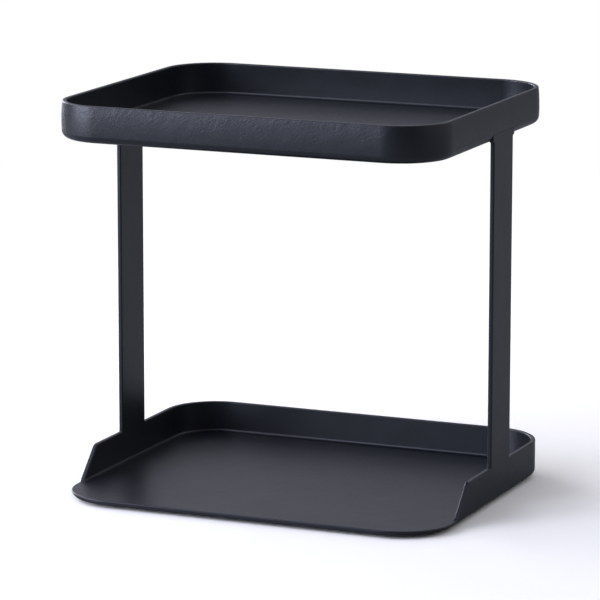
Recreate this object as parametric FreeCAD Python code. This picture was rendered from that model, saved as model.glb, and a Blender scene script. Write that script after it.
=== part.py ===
# Two-tier condiment rack: two trays of bent sheet steel joined by two flat posts.
# Millimetres, +Z up, front is -Y. Origin: on the ground under the middle of the bounding box.
import FreeCAD, Part
import math
import os

V = FreeCAD.Vector

# ---- driving dimensions -------------------------------------------------
WIDTH = 180.0           # over the side walls, X
DEPTH = 150.0           # upper tray, front wall to back wall, Y
SHEET = 2.0             # coated steel sheet and bar
RIM = 16.1              # outside height of the lower tray
RIM_UP = 16.3           # and of the upper one
PLAN_R = 24.0           # outer radius of the tray's corners seen from above
BEND_R = 2.8            # lower tray, outer radius where the walls meet the floor
BEND_R_UP = 3.5         # the same on the upper tray
CROWN_R = 82.0          # the upper tray's walls are drawn slightly barrel-shaped: radius of the crown
CROWN_Z = 7.5           # height of its widest line above the tray's underside
INNER_R = 1.2           # inner bend radius
FLOOR_TUCK = 0.01       # the inner bend runs on this far below the floor, so it meets it at a faint angle
RIM_EDGE = 0.5          # rounding along the rim's top edges
RACK_H = 176.3          # lower tray's underside to the upper rim

FRONT_Y = -70.2         # front edge of the lower floor (set back, no wall)
FRONT_R = 25.0          # its two corners in plan
FRONT_EDGE = 0.45       # rounding of the front edge
SLOPE_TOP_Y = -28.2     # the side rims start to slope down here
SLOPE_TOP_R = 4.4       # rounding at the top of the slope
SLOPE_FOOT_R = 1.6      # blend at its foot

POST_Y0 = -1.8          # front edge of a post
POST_Y1 = 21.7          # back edge of a post
POST_T = 2.0            # bar thickness
POST_EDGE = 0.6         # rounding of the bar's long edges
FLARE_R = 0.7           # weld fillet in the corners at a post's upper end; its foot is a plain butt
HEAD_SIDE = 1.2         # the head is this much wider than the bar on each side
HEAD_H = 3.3            # and reaches this far up the upper tray's bend

FOOT_D = 12.0           # non-slip pads
FOOT_T = 1.5
FOOT_EDGE = 0.4
FOOT_X = 68.0
FOOT_Y_FRONT = -48.0
FOOT_Y_BACK = 55.0

# ---- derived ------------------------------------------------------------
Z0 = FOOT_T                       # underside of the lower tray
Z_UP = Z0 + RACK_H - RIM_UP        # underside of the upper tray
HALF_W = WIDTH / 2
HALF_D = DEPTH / 2


def rounded_rect(x0, y0, x1, y1, radii, z):
    """Closed wire at height z. radii: front-left, front-right, back-right, back-left."""
    fl, fr, br, bl = radii
    h = math.sqrt(0.5)
    pts = {
        "a": V(x0 + fl, y0, z), "b": V(x1 - fr, y0, z),
        "c": V(x1, y0 + fr, z), "d": V(x1, y1 - br, z),
        "e": V(x1 - br, y1, z), "f": V(x0 + bl, y1, z),
        "g": V(x0, y1 - bl, z), "h": V(x0, y0 + fl, z),
    }
    edges = [
        Part.LineSegment(pts["a"], pts["b"]).toShape(),
        Part.Arc(pts["b"], V(x1 - fr + fr * h, y0 + fr - fr * h, z), pts["c"]).toShape(),
        Part.LineSegment(pts["c"], pts["d"]).toShape(),
        Part.Arc(pts["d"], V(x1 - br + br * h, y1 - br + br * h, z), pts["e"]).toShape(),
        Part.LineSegment(pts["e"], pts["f"]).toShape(),
        Part.Arc(pts["f"], V(x0 + bl - bl * h, y1 - bl + bl * h, z), pts["g"]).toShape(),
        Part.LineSegment(pts["g"], pts["h"]).toShape(),
        Part.Arc(pts["h"], V(x0 + fl - fl * h, y0 + fl - fl * h, z), pts["a"]).toShape(),
    ]
    return Part.Wire(edges)


def prism(wire, height):
    return Part.Face(wire).extrude(V(0, 0, height))


def edges_at(shape, z, tol=1e-4):
    """Every edge that lies wholly at height z."""
    return [e for e in shape.Edges
            if abs(e.BoundBox.ZMin - z) < tol and abs(e.BoundBox.ZMax - z) < tol]


def box(x0, y0, z0, x1, y1, z1):
    return Part.makeBox(x1 - x0, y1 - y0, z1 - z0, V(x0, y0, z0))


def cavity(x0, y0, x1, y1, radii, floor_z, height):
    """What is cut out above a tray's floor: upright walls and a bend at their foot."""
    body = prism(rounded_rect(x0, y0, x1, y1, radii, floor_z - FLOOR_TUCK), height + FLOOR_TUCK)
    body = body.makeFillet(INNER_R, edges_at(body, floor_z - FLOOR_TUCK))
    return body.cut(box(x0 - 1, y0 - 1, floor_z - 1, x1 + 1, y1 + 1, floor_z))


def wall_profile(place, height):
    """Section of the upper tray's wall, and of the bends at its foot.

    place(u, z) gives the point at u beyond the widest line and z above the underside.
    Every arc touches its neighbours, except at the floor. Returns the face and the
    floor's own u.
    """
    ri = CROWN_R - SHEET

    def on(radius, centre_z):
        """u of a circle's centre, from its distance to the crown's centre."""
        return -CROWN_R + math.sqrt(radius ** 2 - (centre_z - CROWN_Z) ** 2)

    def toward(u, z, radius):
        """The point of the crown's circle of that radius in line with (u, z)."""
        d = math.hypot(u + CROWN_R, z - CROWN_Z)
        return (-CROWN_R + radius * (u + CROWN_R) / d, CROWN_Z + radius * (z - CROWN_Z) / d)

    def arc(c, r, p, q):
        """Short arc about c from p to q."""
        a0 = math.atan2(p[1] - c[1], p[0] - c[0])
        a1 = math.atan2(q[1] - c[1], q[0] - c[0])
        while a1 - a0 > math.pi:
            a1 -= 2 * math.pi
        while a1 - a0 < -math.pi:
            a1 += 2 * math.pi
        m = (a0 + a1) / 2
        mid = (c[0] + r * math.cos(m), c[1] + r * math.sin(m))
        return Part.Arc(place(*p), place(*mid), place(*q)).toShape()

    def line(p, q):
        return Part.LineSegment(place(*p), place(*q)).toShape()

    crown = (-CROWN_R, CROWN_Z)
    top = height - RIM_EDGE
    bend = (on(CROWN_R - BEND_R_UP, BEND_R_UP), BEND_R_UP)
    rim_out = (on(CROWN_R - RIM_EDGE, top), top)
    rim_in = (on(ri + RIM_EDGE, top), top)
    fold_z = SHEET - FLOOR_TUCK + INNER_R
    fold = (on(ri - INNER_R, fold_z), fold_z)
    floor_u = fold[0] + math.sqrt(INNER_R ** 2 - (INNER_R - FLOOR_TUCK) ** 2)
    p = [
        (bend[0], 0.0),
        toward(bend[0], bend[1], CROWN_R),
        toward(rim_out[0], rim_out[1], CROWN_R),
        (rim_out[0], height),
        (rim_in[0], height),
        toward(rim_in[0], rim_in[1], ri),
        toward(fold[0], fold[1], ri),
        (floor_u, SHEET),
    ]
    inner_u = min(bend[0], floor_u) - 1.0
    edges = [
        arc(bend, BEND_R_UP, p[0], p[1]),
        arc(crown, CROWN_R, p[1], p[2]),
        arc(rim_out, RIM_EDGE, p[2], p[3]),
        line(p[3], p[4]),
        arc(rim_in, RIM_EDGE, p[4], p[5]),
        arc(crown, ri, p[5], p[6]),
        arc(fold, INNER_R, p[6], p[7]),
        line(p[7], (inner_u, SHEET)),
        line((inner_u, SHEET), (inner_u, 0.0)),
        line((inner_u, 0.0), p[0]),
    ]
    return Part.Face(Part.Wire(edges)), inner_u


def crowned_pan(z, height):
    """A tray with a crowned wall all round: four straight runs, four turned corners and the floor."""
    ax, ay = HALF_W - PLAN_R, HALF_D - PLAN_R
    pieces = []
    for nx, ny in ((0, -1), (1, 0), (0, 1), (-1, 0)):
        tx, ty = -ny, nx                       # along the wall, anticlockwise seen from above
        reach = HALF_W if nx else HALF_D
        half = ay if nx else ax
        start = V(nx * reach - tx * half, ny * reach - ty * half, z)
        end = V(nx * reach + tx * half, ny * reach + ty * half, z)
        face, inner_u = wall_profile(lambda u, w: start + V(nx * u, ny * u, w), height)
        pieces.append(face.extrude(end - start))
        face, inner_u = wall_profile(lambda u, w: end + V(nx * u, ny * u, w), height)
        axis = V(end.x - nx * PLAN_R, end.y - ny * PLAN_R, 0)
        pieces.append(face.revolve(axis, V(0, 0, 1), 90))
    w, d, r = HALF_W + inner_u, HALF_D + inner_u, PLAN_R + inner_u
    pieces.append(prism(rounded_rect(-w, -d, w, d, (r, r, r, r), z), SHEET))
    return pieces[0].multiFuse(pieces[1:]).removeSplitter()


def post_profile(x, y0, y1, z0, top_z, z1):
    """Side outline of a post in a YZ plane: plain foot, small fillets under a wider square head."""
    k = math.sqrt(0.5)
    g = FLARE_R
    w = HEAD_SIDE
    e = []
    e.append(Part.LineSegment(V(x, y0, z0), V(x, y1, z0)).toShape())
    e.append(Part.LineSegment(V(x, y1, z0), V(x, y1, top_z - g)).toShape())
    e.append(Part.Arc(V(x, y1, top_z - g), V(x, y1 + g - g * k, top_z - g + g * k), V(x, y1 + g, top_z)).toShape())
    e.append(Part.LineSegment(V(x, y1 + g, top_z), V(x, y1 + w, top_z)).toShape())
    e.append(Part.LineSegment(V(x, y1 + w, top_z), V(x, y1 + w, z1)).toShape())
    e.append(Part.LineSegment(V(x, y1 + w, z1), V(x, y0 - w, z1)).toShape())
    e.append(Part.LineSegment(V(x, y0 - w, z1), V(x, y0 - w, top_z)).toShape())
    e.append(Part.LineSegment(V(x, y0 - w, top_z), V(x, y0 - g, top_z)).toShape())
    e.append(Part.Arc(V(x, y0 - g, top_z), V(x, y0 - g + g * k, top_z - g + g * k), V(x, y0, top_z - g)).toShape())
    e.append(Part.LineSegment(V(x, y0, top_z - g), V(x, y0, z0)).toShape())
    return Part.Wire(e)


# ---- upper tray ---------------------------------------------------------
# The bend is notched where each post comes up, so that the bar runs flush with
# the outside of the wall and butts on the wall's lower edge.
NOTCH_Y0 = POST_Y0 - HEAD_SIDE
NOTCH_Y1 = POST_Y1 + HEAD_SIDE
NOTCH_TOP = Z_UP + HEAD_H
top_tray = crowned_pan(Z_UP, RIM_UP)
for s in (-1, 1):
    x0, x1 = sorted((s * (HALF_W - POST_T), s * (HALF_W + 1)))
    top_tray = top_tray.cut(box(x0, NOTCH_Y0, Z_UP - 1, x1, NOTCH_Y1, NOTCH_TOP))

# ---- lower tray ---------------------------------------------------------
z_floor = Z0 + SHEET
z_rim = Z0 + RIM
outer = prism(rounded_rect(-HALF_W, FRONT_Y, HALF_W, HALF_D, (FRONT_R, FRONT_R, PLAN_R, PLAN_R), Z0), RIM)

doc = FreeCAD.newDocument("part")


def variable_fillet(shape, spec):
    """spec: list of (edge number, radius at its start, radius at its end)."""
    base = doc.addObject("Part::Feature", "base")
    base.Shape = shape
    f = doc.addObject("Part::Fillet", "fillet")
    f.Base = base
    f.Edges = spec
    doc.recompute()
    return f.Shape.copy()


# bottom edge: the full bend along the sides and back, small round at the front,
# and a radius that runs from one to the other round each front corner
spec = []
for i, e in enumerate(outer.Edges):
    bb = e.BoundBox
    if abs(bb.ZMin - Z0) > 1e-4 or abs(bb.ZMax - Z0) > 1e-4:
        continue
    if bb.YMax < FRONT_Y + 1e-3:
        spec.append((i + 1, FRONT_EDGE, FRONT_EDGE))
    elif bb.YMax < FRONT_Y + FRONT_R + 1e-3:
        first = e.valueAt(e.FirstParameter)
        at_front = abs(first.y - FRONT_Y) < 1e-3
        spec.append((i + 1, FRONT_EDGE if at_front else BEND_R, BEND_R if at_front else FRONT_EDGE))
    else:
        spec.append((i + 1, BEND_R, BEND_R))
outer_f = variable_fillet(outer, spec)

inner_r = PLAN_R - SHEET
bottom_tray = outer_f.cut(cavity(-HALF_W + SHEET, FRONT_Y - 40, HALF_W - SHEET, HALF_D - SHEET,
                                 (5.0, 5.0, inner_r, inner_r), z_floor, RIM))

# everything in front of the 45 degree slopes is cut down to the floor
top_y = SLOPE_TOP_Y
foot_y = SLOPE_TOP_Y - (z_rim - z_floor)
far = FRONT_Y - 60
high = z_rim + 20
k = math.tan(math.radians(22.5))
c = math.sqrt(0.5)


def slope_cutter():
    """Outline in a YZ plane: floor level, blend, slope, rounded top, rim level."""
    x = -HALF_W - 10
    rf, rt = SLOPE_FOOT_R, SLOPE_TOP_R
    a = V(x, foot_y - rf * k, z_floor)                          # end of the flat
    b = V(x, foot_y + rf * k * c, z_floor + rf * k * c)         # start of the slope
    m = V(x, a.y + rf * math.sin(math.radians(22.5)), z_floor + rf * (1 - math.cos(math.radians(22.5))))
    p = V(x, top_y - rt * k * c, z_rim - rt * k * c)            # end of the slope
    q = V(x, top_y + rt * k, z_rim)                             # start of the rim's straight top
    n = V(x, q.y - rt * math.sin(math.radians(22.5)), z_rim - rt * (1 - math.cos(math.radians(22.5))))
    w = Part.Wire([
        Part.LineSegment(V(x, far, z_floor), a).toShape(),
        Part.Arc(a, m, b).toShape(),
        Part.LineSegment(b, p).toShape(),
        Part.Arc(p, n, q).toShape(),
        Part.LineSegment(q, V(x, q.y, high)).toShape(),
        Part.LineSegment(V(x, q.y, high), V(x, far, high)).toShape(),
        Part.LineSegment(V(x, far, high), V(x, far, z_floor)).toShape(),
    ])
    return Part.Face(w).extrude(V(WIDTH + 20, 0, 0))


bottom_tray = bottom_tray.cut(slope_cutter()).removeSplitter()


def plan_inset(p, y0, y1, front_r, back_r):
    """How far the point lies inside the rounded outline, in plan."""
    fx = HALF_W - abs(p.x)
    fy = min(p.y - y0, y1 - p.y)
    r = front_r if p.y < (y0 + y1) / 2 else back_r
    if fx < r and fy < r:
        return r - math.hypot(r - fx, r - fy)
    return min(fx, fy)


def is_sharp(shape, e):
    """True if the two faces beside the edge meet at a real corner."""
    faces = shape.ancestorsOfType(e, Part.Face)
    if len(faces) != 2:
        return False
    mid = e.valueAt((e.FirstParameter + e.LastParameter) / 2)
    n = [f.normalAt(*f.Surface.parameter(mid)) for f in faces]
    return math.degrees(n[0].getAngle(n[1])) > 20


# one rounding runs round the outside (rim, slopes, front edge), one round the inside of the rim
chain = []
for e in bottom_tray.Edges:
    mid = e.valueAt((e.FirstParameter + e.LastParameter) / 2)
    if mid.z < z_floor - 0.01 or not is_sharp(bottom_tray, e):
        continue
    inset = plan_inset(mid, FRONT_Y, HALF_D, FRONT_R, PLAN_R)
    on_inside = abs(inset - SHEET) < 0.05 and mid.z > z_floor + INNER_R - 0.01
    if inset < 0.7 or on_inside:
        chain.append(e)
bottom_tray = bottom_tray.makeFillet(FRONT_EDGE, chain)

# the rim keeps its full square section where a post stands on it
for s in (-1, 1):
    x0, x1 = sorted((s * (HALF_W - POST_T), s * HALF_W))
    bottom_tray = bottom_tray.fuse(box(x0, POST_Y0, z_rim - 1.0, x1, POST_Y1, z_rim))
bottom_tray = bottom_tray.removeSplitter()


# ---- posts --------------------------------------------------------------
def post(side):
    """A flat bar standing on the lower rim, its head filling the notch in the upper bend."""
    x0, x1 = sorted((side * (HALF_W - POST_T), side * HALF_W))
    wire = post_profile(x0, POST_Y0, POST_Y1, z_rim, Z_UP, NOTCH_TOP)
    body = Part.Face(wire).extrude(V(x1 - x0, 0, 0))
    long_edges = []
    for e in body.Edges:
        bb = e.BoundBox
        if bb.XMax - bb.XMin > 1e-4 or bb.ZMax - bb.ZMin < 1e-3:
            continue
        if bb.ZMin > z_rim - 1e-4 and bb.ZMax < Z_UP + 1e-4:
            long_edges.append(e)
    return body.makeFillet(POST_EDGE, long_edges)


left_post = post(-1)
right_post = post(1)


# ---- non-slip pads ------------------------------------------------------
def foot(x, y):
    pad = Part.makeCylinder(FOOT_D / 2, FOOT_T, V(x, y, 0))
    return pad.makeFillet(FOOT_EDGE, edges_at(pad, 0.0))


parts = {
    "top_tray": top_tray,
    "bottom_tray": bottom_tray,
    "left_post": left_post,
    "right_post": right_post,
    "foot_front_left": foot(-FOOT_X, FOOT_Y_FRONT),
    "foot_front_right": foot(FOOT_X, FOOT_Y_FRONT),
    "foot_back_left": foot(-FOOT_X, FOOT_Y_BACK),
    "foot_back_right": foot(FOOT_X, FOOT_Y_BACK),
}

os.makedirs("parts", exist_ok=True)
for name, shape in parts.items():
    if not shape.isValid() or len(shape.Solids) != 1:
        raise RuntimeError(name + " is not one valid solid")
    shape.exportStep("parts/" + name + ".step")
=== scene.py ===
import math

import bpy
from mathutils import Matrix, Vector

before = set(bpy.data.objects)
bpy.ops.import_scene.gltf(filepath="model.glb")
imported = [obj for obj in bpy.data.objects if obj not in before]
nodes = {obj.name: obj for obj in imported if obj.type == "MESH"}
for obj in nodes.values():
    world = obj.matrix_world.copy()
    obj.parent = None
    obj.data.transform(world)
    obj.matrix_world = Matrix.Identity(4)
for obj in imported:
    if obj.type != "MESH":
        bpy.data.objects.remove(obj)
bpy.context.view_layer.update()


# ---- node helpers -------------------------------------------------------
def new_material(name):
    mat = bpy.data.materials.new(name)
    mat.use_nodes = True
    mat.node_tree.nodes.clear()
    return mat, mat.node_tree


def add(tree, kind, **props):
    n = tree.nodes.new(kind)
    for k, v in props.items():
        setattr(n, k, v)
    return n


def link(tree, a, b):
    tree.links.new(a, b)


def noise(tree, vec, scale, detail=2.0, rough=0.5, distortion=0.0):
    n = add(tree, "ShaderNodeTexNoise")
    n.noise_dimensions = "3D"
    n.inputs["Scale"].default_value = scale
    n.inputs["Detail"].default_value = detail
    n.inputs["Roughness"].default_value = rough
    n.inputs["Distortion"].default_value = distortion
    link(tree, vec, n.inputs["Vector"])
    return n


def ramp(tree, src, stops):
    n = add(tree, "ShaderNodeValToRGB")
    els = n.color_ramp.elements
    while len(els) < len(stops):
        els.new(0.5)
    for el, (p, c) in zip(els, stops):
        el.position = p
        el.color = (*c, 1.0) if len(c) == 3 else c
    link(tree, src, n.inputs["Fac"])
    return n


def remap(tree, src, a, b, c, d):
    n = add(tree, "ShaderNodeMapRange")
    n.inputs["From Min"].default_value = a
    n.inputs["From Max"].default_value = b
    n.inputs["To Min"].default_value = c
    n.inputs["To Max"].default_value = d
    link(tree, src, n.inputs["Value"])
    return n.outputs["Result"]


def math_node(tree, op, a, b):
    n = add(tree, "ShaderNodeMath", operation=op)
    for i, v in enumerate((a, b)):
        if isinstance(v, (int, float)):
            n.inputs[i].default_value = v
        else:
            link(tree, v, n.inputs[i])
    return n.outputs[0]


def vector(tree, op, *args):
    n = add(tree, "ShaderNodeVectorMath", operation=op)
    for i, v in enumerate(args):
        if isinstance(v, tuple):
            n.inputs[i].default_value = v
        elif isinstance(v, float):
            n.inputs["Scale"].default_value = v
        elif v.name in ("Value", "Result") and op == "SCALE":
            link(tree, v, n.inputs["Scale"])
        else:
            link(tree, v, n.inputs[i])
    return n.outputs["Value" if op in ("DOT_PRODUCT", "LENGTH") else "Vector"]


# ---- powder coat --------------------------------------------------------
CORNER = (0.066, 0.051)    # where the trays' walls begin to turn, metres from the middle


# The trays' walls outside, in metres: the top of the bend and its radius, the height and radius
# of the crown, the lowest and highest point to correct, and how far to the front.
TOP_WALL = (0.1650, 0.0035, 0.1690, 0.082, 0.1620, 0.1773, -1.0)
BOTTOM_WALL = (0.0043, 0.0028, 0.0095, 1000.0, 0.0020, 0.0170, -0.030)


def even_normal(t, coord, wall):
    """The wall's true normal, which the mesh's flat facets only come near.

    Its level part points away from the rounded rectangle that the walls follow, and outside, its
    tilt is that of the bend and the crown. So the light runs evenly from the flat stretches into
    the turned corners and into the bend.
    """
    bend_z, bend_r, crown_z, crown_r, low, high, front_limit = wall
    normal = add(t, "ShaderNodeNewGeometry").outputs["Normal"]
    past = vector(t, "MAXIMUM", vector(t, "SUBTRACT", vector(t, "ABSOLUTE", coord), (*CORNER, 1.0)), (0.0, 0.0, 0.0))
    away = vector(t, "NORMALIZE", vector(t, "MULTIPLY", past, vector(t, "SIGN", coord)))
    level = vector(t, "MULTIPLY", normal, (1.0, 1.0, 0.0))
    along = vector(t, "DOT_PRODUCT", away, level)
    xyz = add(t, "ShaderNodeSeparateXYZ")
    link(t, coord, xyz.inputs["Vector"])
    z = xyz.outputs["Z"]
    own = add(t, "ShaderNodeSeparateXYZ")
    link(t, normal, own.inputs["Vector"])
    tilt = math_node(t, "MINIMUM", math_node(t, "DIVIDE", math_node(t, "SUBTRACT", z, bend_z), bend_r),
                     math_node(t, "DIVIDE", math_node(t, "SUBTRACT", z, crown_z), crown_r))
    outside = math_node(t, "MULTIPLY", math_node(t, "GREATER_THAN", along, 0.0),
                        math_node(t, "MULTIPLY", math_node(t, "GREATER_THAN", z, low), math_node(t, "LESS_THAN", z, high)))
    level_out = math_node(t, "SQRT", math_node(t, "SUBTRACT", 1.0, math_node(t, "MULTIPLY", tilt, tilt)), 0.0)
    across = add(t, "ShaderNodeMix", data_type="FLOAT")
    up = add(t, "ShaderNodeMix", data_type="FLOAT")
    for mix, a, b in ((across, along, level_out), (up, own.outputs["Z"], tilt)):
        link(t, outside, mix.inputs["Factor"])
        link(t, a, mix.inputs["A"])
        link(t, b, mix.inputs["B"])
    rise = add(t, "ShaderNodeCombineXYZ")
    link(t, up.outputs["Result"], rise.inputs["Z"])
    turned = vector(t, "ADD", vector(t, "SCALE", away, across.outputs["Result"]), rise.outputs["Vector"])
    # only where the surface does follow the walls: not on the notches' sides or the cut edges
    follows = math_node(t, "GREATER_THAN", math_node(t, "ABSOLUTE", along, 0.0),
                        math_node(t, "MULTIPLY", vector(t, "LENGTH", level), 0.985))
    follows = math_node(t, "MULTIPLY", follows, math_node(t, "GREATER_THAN", xyz.outputs["Y"], front_limit))
    pick = add(t, "ShaderNodeMix", data_type="VECTOR")
    link(t, follows, pick.inputs["Factor"])
    link(t, normal, [i for i in pick.inputs if i.name == "A" and i.type == "VECTOR"][0])
    link(t, turned, [i for i in pick.inputs if i.name == "B" and i.type == "VECTOR"][0])
    return vector(t, "NORMALIZE", [o for o in pick.outputs if o.type == "VECTOR"][0])


NAVY_BLACK = (0.0060, 0.0073, 0.0108)    # linear
COAT_ROUGH = 0.36
COAT_SPEC = 0.5


def powder_coat(name, wrinkled=False, wall=None):
    """Matte black powder coat with a navy cast.

    Slow unevenness about 9 mm across, orange peel of about 1.4 mm and a finer grain. On the upper
    tray's front the sheet is also puckered just under the rim, in short slanting strokes.
    """
    mat, t = new_material(name)
    out = add(t, "ShaderNodeOutputMaterial")
    b = add(t, "ShaderNodeBsdfPrincipled")
    link(t, b.outputs["BSDF"], out.inputs["Surface"])
    b.inputs["Metallic"].default_value = 0.0
    b.inputs["IOR"].default_value = 1.5
    b.inputs["Specular IOR Level"].default_value = COAT_SPEC
    coord = add(t, "ShaderNodeTexCoord").outputs["Object"]

    # the coat's slow colour drift, and its specks
    cloud = noise(t, coord, 38.0, detail=3.0, rough=0.55)
    fine = noise(t, coord, 620.0, detail=2.0, rough=0.6)
    mix = math_node(t, "ADD", math_node(t, "MULTIPLY", cloud.outputs["Fac"], 0.6),
                    math_node(t, "MULTIPLY", fine.outputs["Fac"], 0.4))
    dark = tuple(c * 0.86 for c in NAVY_BLACK)
    light = tuple(c * 1.16 for c in NAVY_BLACK)
    col = ramp(t, mix, [(0.32, dark), (0.52, NAVY_BLACK), (0.72, light)])
    link(t, col.outputs["Color"], b.inputs["Base Color"])
    link(t, remap(t, mix, 0.3, 0.7, COAT_ROUGH - 0.03, COAT_ROUGH + 0.03), b.inputs["Roughness"])

    # heights in millimetres
    slow = noise(t, coord, 110.0, detail=1.0, rough=0.5)
    peel = noise(t, coord, 700.0, detail=1.0, rough=0.5)
    grain = noise(t, coord, 2300.0, detail=1.0, rough=0.5)
    h = math_node(t, "ADD",
                  math_node(t, "MULTIPLY", slow.outputs["Fac"], 0.10 if wrinkled else 0.075),
                  math_node(t, "ADD", math_node(t, "MULTIPLY", peel.outputs["Fac"], 0.022),
                            math_node(t, "MULTIPLY", grain.outputs["Fac"], 0.005)))
    if wrinkled:
        turn = add(t, "ShaderNodeMapping")
        turn.inputs["Rotation"].default_value = (0.0, math.radians(-46.0), 0.0)
        link(t, coord, turn.inputs["Vector"])
        stretch = add(t, "ShaderNodeMapping")
        stretch.inputs["Scale"].default_value = (1.0, 1.0, 0.45)
        link(t, turn.outputs["Vector"], stretch.inputs["Vector"])
        strokes = noise(t, stretch.outputs["Vector"], 1050.0, detail=3.0, rough=0.6, distortion=0.5)
        patches = noise(t, coord, 120.0, detail=2.0, rough=0.5)
        xyz = add(t, "ShaderNodeSeparateXYZ")
        link(t, coord, xyz.inputs["Vector"])
        under_rim = remap(t, xyz.outputs["Z"], 0.1645, 0.1760, 0.0, 1.0)
        front = remap(t, xyz.outputs["Y"], -0.0715, -0.0740, 0.0, 1.0)
        amount = math_node(t, "MULTIPLY", math_node(t, "MULTIPLY", under_rim, front),
                           remap(t, patches.outputs["Fac"], 0.35, 0.65, 0.35, 1.3))
        h = math_node(t, "ADD", h, math_node(t, "MULTIPLY", math_node(t, "MULTIPLY", strokes.outputs["Fac"], amount), 0.115))
    bump = add(t, "ShaderNodeBump")
    bump.inputs["Strength"].default_value = 1.0
    bump.inputs["Distance"].default_value = 0.001
    link(t, h, bump.inputs["Height"])
    if wall:
        link(t, even_normal(t, coord, wall), bump.inputs["Normal"])
    link(t, bump.outputs["Normal"], b.inputs["Normal"])
    return mat


def rubber(name):
    """Matte black rubber with a fine moulded grain."""
    mat, t = new_material(name)
    out = add(t, "ShaderNodeOutputMaterial")
    b = add(t, "ShaderNodeBsdfPrincipled")
    link(t, b.outputs["BSDF"], out.inputs["Surface"])
    b.inputs["IOR"].default_value = 1.5
    b.inputs["Specular IOR Level"].default_value = 0.35
    coord = add(t, "ShaderNodeTexCoord").outputs["Object"]
    n = noise(t, coord, 1400.0, detail=2.0)
    col = ramp(t, n.outputs["Fac"], [(0.3, (0.010, 0.010, 0.011)), (0.7, (0.020, 0.020, 0.021))])
    link(t, col.outputs["Color"], b.inputs["Base Color"])
    link(t, remap(t, n.outputs["Fac"], 0.3, 0.7, 0.72, 0.88), b.inputs["Roughness"])
    bump = add(t, "ShaderNodeBump")
    bump.inputs["Strength"].default_value = 0.6
    bump.inputs["Distance"].default_value = 0.00008
    link(t, n.outputs["Fac"], bump.inputs["Height"])
    link(t, bump.outputs["Normal"], b.inputs["Normal"])
    return mat


materials = {
    "top_tray": powder_coat("coat_top", wrinkled=True, wall=TOP_WALL),
    "bottom_tray": powder_coat("coat_bottom", wall=BOTTOM_WALL),
    "left_post": powder_coat("coat_post"),
}
materials["right_post"] = materials["left_post"]
pad = rubber("pad_rubber")
for name in nodes:
    if name.startswith("foot_"):
        materials[name] = pad
for name, obj in nodes.items():
    for s in obj.material_slots:
        s.material = materials[name]


# ---- floor --------------------------------------------------------------
def plane(name, size, z):
    me = bpy.data.meshes.new(name)
    h = size / 2
    me.from_pydata([(-h, -h, z), (h, -h, z), (h, h, z), (-h, h, z)], [], [(0, 1, 2, 3)])
    me.update()
    ob = bpy.data.objects.new(name, me)
    bpy.context.scene.collection.objects.link(ob)
    return ob


floor = plane("floor", 24.0, 0.0)
mat, t = new_material("floor_pale")
out = add(t, "ShaderNodeOutputMaterial")
# a white table to look at; in the rack's reflections and bounce light it counts as mid grey,
# as under a product that is photographed on grey and set on white afterwards
seen = add(t, "ShaderNodeBsdfDiffuse")
seen.inputs["Color"].default_value = (1.21, 1.175, 1.07, 1.0)    # neutral under the cool lamps
bounced = add(t, "ShaderNodeBsdfDiffuse")
bounced.inputs["Color"].default_value = (0.36, 0.36, 0.36, 1.0)
# away from the rack the table runs out into plain white, past the reach of the panels
white = add(t, "ShaderNodeEmission")
white.inputs["Color"].default_value = (1.0, 1.0, 1.0, 1.0)
white.inputs["Strength"].default_value = 1.0
far = add(t, "ShaderNodeMixShader")
reach = vector(t, "LENGTH", add(t, "ShaderNodeTexCoord").outputs["Object"])
link(t, remap(t, reach, 0.25, 0.9, 0.0, 1.0), far.inputs["Fac"])
link(t, seen.outputs["BSDF"], far.inputs[1])
link(t, white.outputs["Emission"], far.inputs[2])
both = add(t, "ShaderNodeMixShader")
link(t, add(t, "ShaderNodeLightPath").outputs["Is Camera Ray"], both.inputs["Fac"])
link(t, bounced.outputs["BSDF"], both.inputs[1])
link(t, far.outputs["Shader"], both.inputs[2])
link(t, both.outputs["Shader"], out.inputs["Surface"])
floor.data.materials.append(mat)


# ---- light --------------------------------------------------------------
TARGET = Vector((0.0, 0.0, 0.09))


# the light's colour by azimuth: cool from the front left, as from a window, and nearer white elsewhere
TINTS = [
    (-180, (0.98, 1.0, 1.15)), (-120, (0.98, 1.0, 1.17)), (-75, (0.96, 1.0, 1.19)), (-35, (0.945, 1.0, 1.29)),
    (0, (0.945, 1.0, 1.29)), (60, (0.97, 1.0, 1.14)), (120, (0.98, 1.0, 1.11)), (180, (0.98, 1.0, 1.15)),
]


def tint(azimuth):
    for (a0, c0), (a1, c1) in zip(TINTS, TINTS[1:]):
        if a0 <= azimuth <= a1:
            k = (azimuth - a0) / (a1 - a0)
            return tuple(p + (q - p) * k for p, q in zip(c0, c1))


def lamp(name, location, rotation, width, height, power, color):
    data = bpy.data.lights.new(name, "AREA")
    data.shape = "RECTANGLE"
    data.size, data.size_y = width, height
    data.energy = power
    data.color = color
    ob = bpy.data.objects.new(name, data)
    bpy.context.scene.collection.objects.link(ob)
    ob.location = location
    ob.rotation_euler = rotation
    ob.visible_camera = False
    return ob


def panel(name, azimuth, elevation, distance, width, height, power):
    """A soft panel aimed at the rack. Azimuth 0 is in front, positive to the right."""
    a, e = math.radians(azimuth), math.radians(elevation)
    direction = Vector((math.sin(a) * math.cos(e), -math.cos(a) * math.cos(e), math.sin(e)))
    return lamp(name, TARGET + direction * distance, direction.to_track_quat("Z", "Y").to_euler(), width, height, power,
                tint(azimuth))


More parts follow.
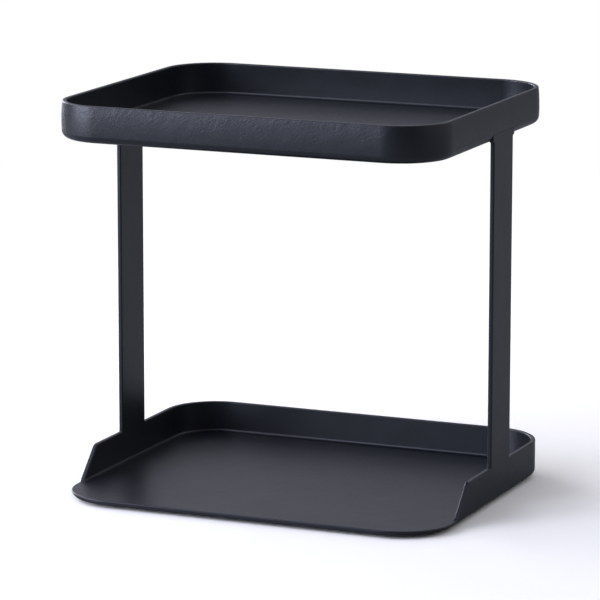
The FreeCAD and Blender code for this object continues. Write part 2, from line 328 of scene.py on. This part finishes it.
# name, azimuth, elevation, distance, width, height, power
PANELS = [
    ("window_left_back", -125, 10, 1.6, 0.55, 0.55, 8.6),
    ("strip_left", -65, 10, 1.6, 0.55, 0.55, 5.5),
    ("key_front_left", -45, 10, 1.6, 0.55, 0.55, 9.7),
    ("strip_front", -25, 10, 1.6, 0.55, 0.55, 1.5),
    ("high_left", -90, 35, 1.6, 1.0, 0.7, 6.7),
    ("high_front_left", -45, 35, 1.6, 1.0, 0.7, 4.8),
    ("high_back_right", 135, 35, 1.6, 1.0, 0.7, 2.1),
]
for p in PANELS:
    panel(*p)
lamp("table_back", (0.0, 0.9, 1.0), (0.0, 0.0, 0.0), 0.6, 0.6, 0.6, tint(180))
lamp("table_back_left", (-0.8, 1.4, 1.2), (0.0, 0.0, 0.0), 0.8, 0.8, 0.9, tint(-150))
lamp("table_back_right", (0.6, 1.4, 1.2), (0.0, 0.0, 0.0), 0.8, 0.8, 1.1, tint(150))

# A light tent round the rack, even all over but for two openings: one low down in front, where
# the camera stands, and one high up behind the rack.
TENT_STRENGTH = 0.51
world = bpy.data.worlds.new("studio")
bpy.context.scene.world = world
world.use_nodes = True
wt = world.node_tree
bg = wt.nodes["Background"]
sky = add(wt, "ShaderNodeSeparateXYZ")
link(wt, add(wt, "ShaderNodeTexCoord").outputs["Generated"], sky.inputs["Vector"])
azimuth = math_node(wt, "DEGREES", math_node(wt, "ARCTAN2", sky.outputs["X"], math_node(wt, "MULTIPLY", sky.outputs["Y"], -1.0)), 0.0)
elevation = math_node(wt, "DEGREES", math_node(wt, "ARCSINE", sky.outputs["Z"], 0.0), 0.0)


def opening(middle, half, rim):
    """1 within half degrees of azimuth from the middle, falling to 0 over the next rim degrees."""
    off = math_node(wt, "ABSOLUTE", math_node(wt, "SUBTRACT", azimuth, float(middle)), 0.0)
    off = math_node(wt, "MINIMUM", off, math_node(wt, "SUBTRACT", 360.0, off))
    return remap(wt, off, half, half + rim, 1.0, 0.0)


front_gap = math_node(wt, "MULTIPLY", opening(30, 25, 30), remap(wt, elevation, 8.0, 28.0, 1.0, 0.0))
back_gap = math_node(wt, "MULTIPLY", opening(165, 15, 30),
                     math_node(wt, "MULTIPLY", remap(wt, elevation, 2.0, 22.0, 0.0, 1.0), remap(wt, elevation, 50.0, 80.0, 1.0, 0.0)))
cloth = math_node(wt, "MULTIPLY", math_node(wt, "SUBTRACT", 1.0, front_gap), math_node(wt, "SUBTRACT", 1.0, back_gap))
link(wt, math_node(wt, "MULTIPLY", cloth, TENT_STRENGTH), bg.inputs["Strength"])
link(wt, ramp(wt, remap(wt, azimuth, -180.0, 180.0, 0.0, 1.0), [((a + 180) / 360, c) for a, c in TINTS]).outputs["Color"],
     bg.inputs["Color"])
# the pale room behind, as the eye sees it past the table's far edge
room = add(wt, "ShaderNodeBackground")
room.inputs["Color"].default_value = (1.0, 1.0, 1.0, 1.0)
room.inputs["Strength"].default_value = 0.9
pick = add(wt, "ShaderNodeMixShader")
link(wt, add(wt, "ShaderNodeLightPath").outputs["Is Camera Ray"], pick.inputs["Fac"])
link(wt, bg.outputs["Background"], pick.inputs[1])
link(wt, room.outputs["Background"], pick.inputs[2])
link(wt, pick.outputs["Shader"], wt.nodes["World Output"].inputs["Surface"])

# ---- camera -------------------------------------------------------------
# focal length in pixels of a 600 pixel frame, angles in degrees, the rest in millimetres
FOCAL, AZ, EL, ROLL, TX, TY, DIST = 3937.044, 23.065, 11.277, 0.039, 1.374, 6.218, 1739.892
a, e, r = math.radians(AZ), math.radians(EL), math.radians(ROLL)
back = Vector((math.sin(a) * math.cos(e), -math.cos(a) * math.cos(e), math.sin(e)))
right = Vector((math.cos(a), math.sin(a), 0.0))
up = back.cross(right)
right, up = (right * math.cos(r) + up * math.sin(r), up * math.cos(r) - right * math.sin(r))
centre = Vector((0.0, 0.0, 91.5))
cam_data = bpy.data.cameras.new("camera")
cam_data.sensor_fit = "HORIZONTAL"
cam_data.sensor_width = 36.0
cam_data.lens = FOCAL / 600.0 * 36.0
cam_data.clip_start = 0.05
cam_data.clip_end = 60.0
cam = bpy.data.objects.new("camera", cam_data)
bpy.context.scene.collection.objects.link(cam)
rot = Matrix((right, up, back)).transposed()
cam.matrix_world = Matrix.Translation((centre + back * DIST - right * TX - up * TY) / 1000.0) @ rot.to_4x4()
bpy.context.scene.camera = cam

view = bpy.context.scene.view_settings
view.view_transform = "Standard"
view.look = "None"
